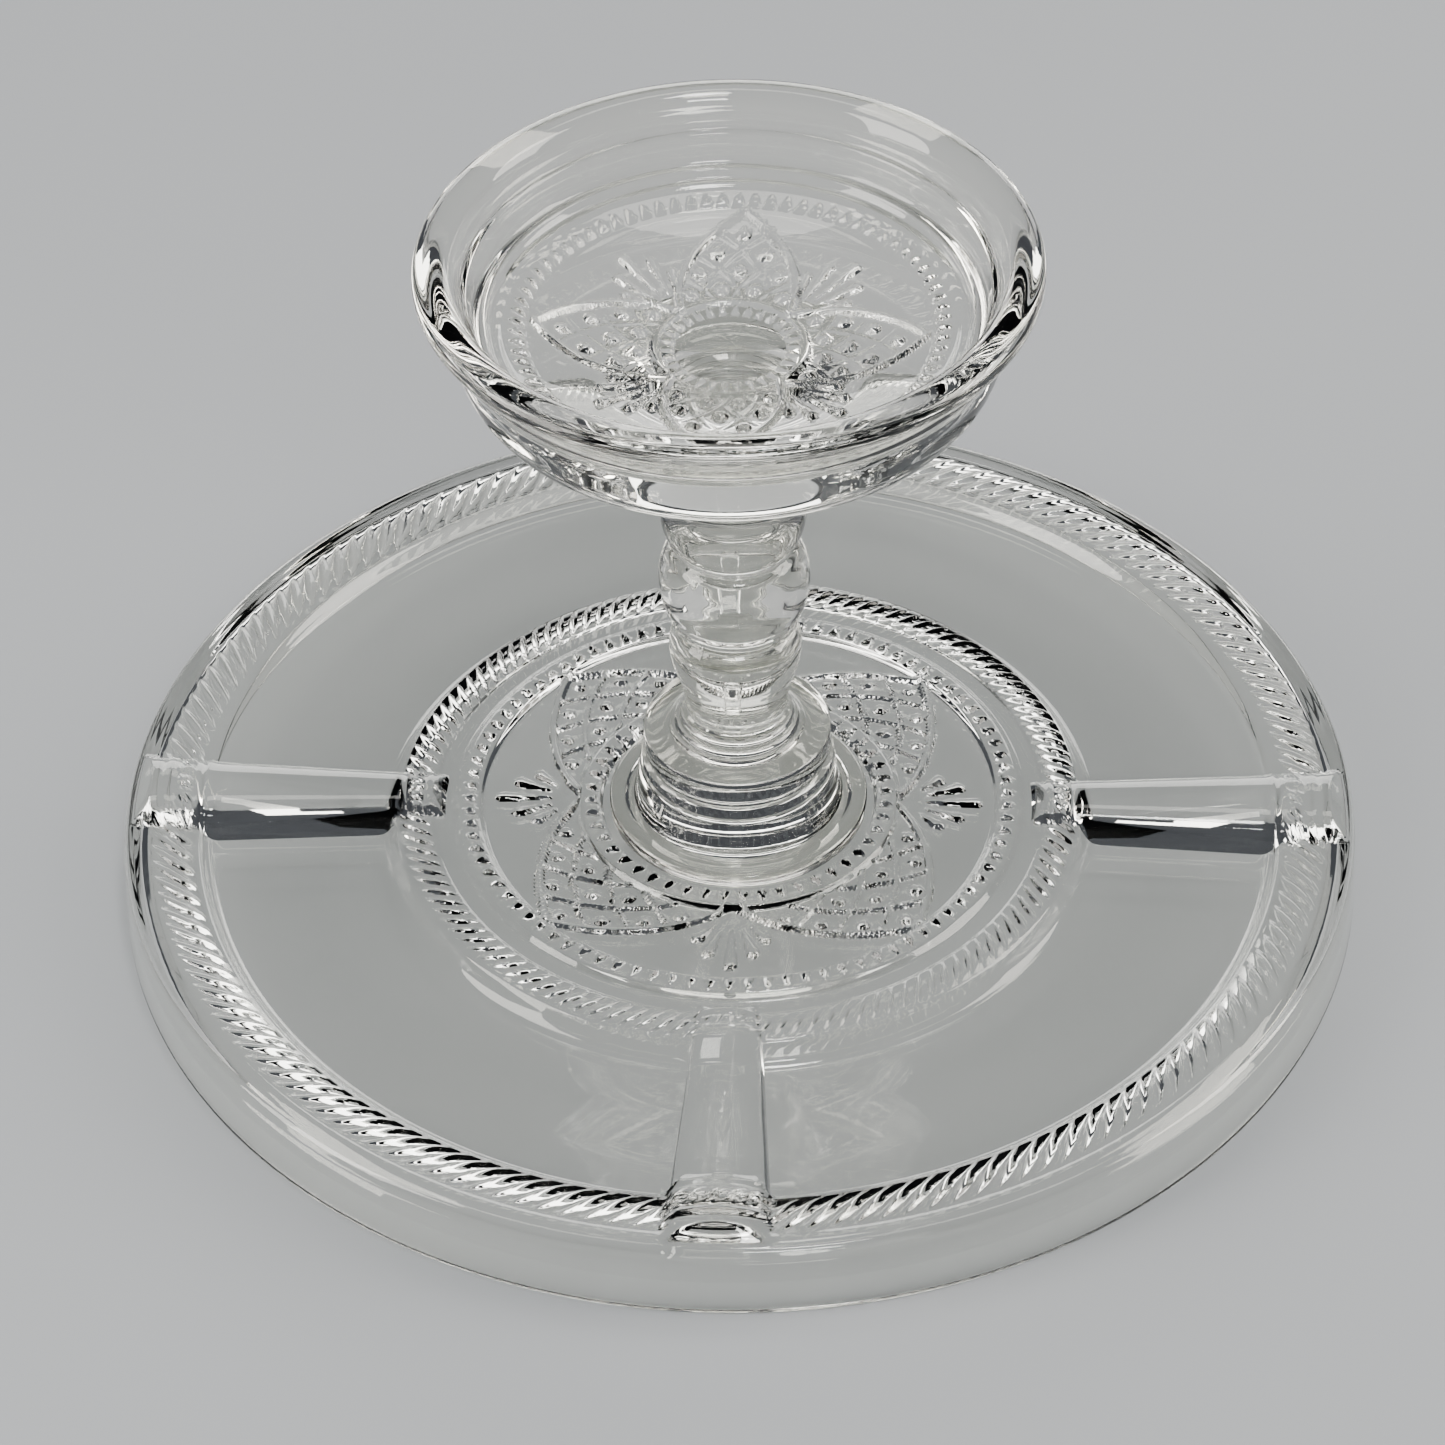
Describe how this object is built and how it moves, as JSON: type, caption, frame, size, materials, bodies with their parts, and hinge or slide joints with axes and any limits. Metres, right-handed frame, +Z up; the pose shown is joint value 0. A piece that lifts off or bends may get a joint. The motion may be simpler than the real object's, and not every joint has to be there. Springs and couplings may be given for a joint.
{
  "type": "chip and dip server",
  "caption": "Round clear pressed-glass tray with radial dividers between its chip sections, and a loose pedestal dip bowl standing at its middle.",
  "frame": {"origin": "on the round axis of the tray, at the level of the surface the tray stands on", "axes": "+Z up along the axis of the tray and the pedestal bowl; the four dividers lie along +X, +Y, -X and -Y, with -Y towards the front"},
  "size_m": [0.324, 0.324, 0.1973],
  "materials": {
    "tray_glass": "clear pressed glass, fire polished, very slightly warm",
    "bowl_glass": "clear pressed glass, fire polished, very slightly warm"
  },
  "bodies": {
    "tray": {"divided_tray": "tray_glass"},
    "dip_bowl": {"pedestal_dip_bowl": "bowl_glass"}
  },
  "joints": [
    {"name": "dip_bowl_lift", "type": "slide", "parent": "tray", "child": "dip_bowl", "axis": [0, 0, 1], "range_m": [0, 0.12]}
  ]
}
